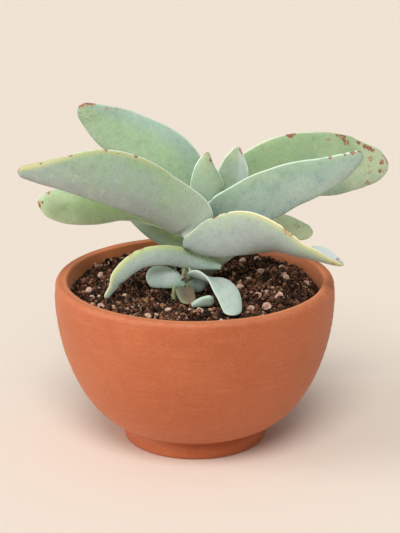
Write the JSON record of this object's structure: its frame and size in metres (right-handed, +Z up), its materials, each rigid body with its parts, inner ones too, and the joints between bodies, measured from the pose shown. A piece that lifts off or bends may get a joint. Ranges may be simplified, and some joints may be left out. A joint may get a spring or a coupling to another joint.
{
  "type": "potted propeller plant",
  "caption": "Grey-green succulent with broad sickle-shaped leaves in layers, growing in a bowl-shaped terracotta pot with a foot ring and a gritty fill.",
  "frame": {"origin": "on the ground, below the middle of the whole object's length and width; the pot's axis stands 6.6 mm from it, at x = -0.0066", "axes": "+Z up, parallel to the pot's axis; +X towards the long blunt-ended leaf, to the right in the picture; +Y away from the picture's viewpoint"},
  "size_m": [0.1825, 0.14, 0.1663],
  "materials": {
    "terracotta": "matte unglazed clay with fine turning lines",
    "potting_mix": "dark crumbs with round tan grit",
    "stem_green": "dull green stem with leaf scars",
    "leaf_grey_green": "soft grey-green bloom with a pale margin",
    "leaf_green": "soft grey-green bloom with rust-red freckles",
    "leaf_bright_green": "satin green with rust-red freckles",
    "pup_blue_green": "pale blue-green bloom",
    "dry_leaf": "dull, dried, brownish"
  },
  "bodies": {
    "root": {"pot": "terracotta", "soil": "potting_mix", "stem": "stem_green", "pup_stem": "stem_green", "shoot": "stem_green", "leaf_upper_left_front": "leaf_grey_green", "leaf_upper_right_front": "leaf_grey_green", "leaf_middle_right_front": "leaf_grey_green", "leaf_lower_left_front": "leaf_grey_green", "leaf_upper_right_back": "leaf_green", "leaf_upper_left_back": "leaf_green", "leaf_lower_right_back": "leaf_green", "leaf_young_front": "leaf_green", "leaf_young_back": "leaf_green", "leaf_middle_left": "leaf_bright_green", "leaf_lower_left_back": "leaf_bright_green", "pup_leaf_left": "pup_blue_green", "pup_leaf_right": "pup_blue_green", "pup_leaf_middle": "pup_blue_green", "seedling_leaf": "pup_blue_green", "pup_leaf_dry": "dry_leaf"}
  },
  "joints": []
}
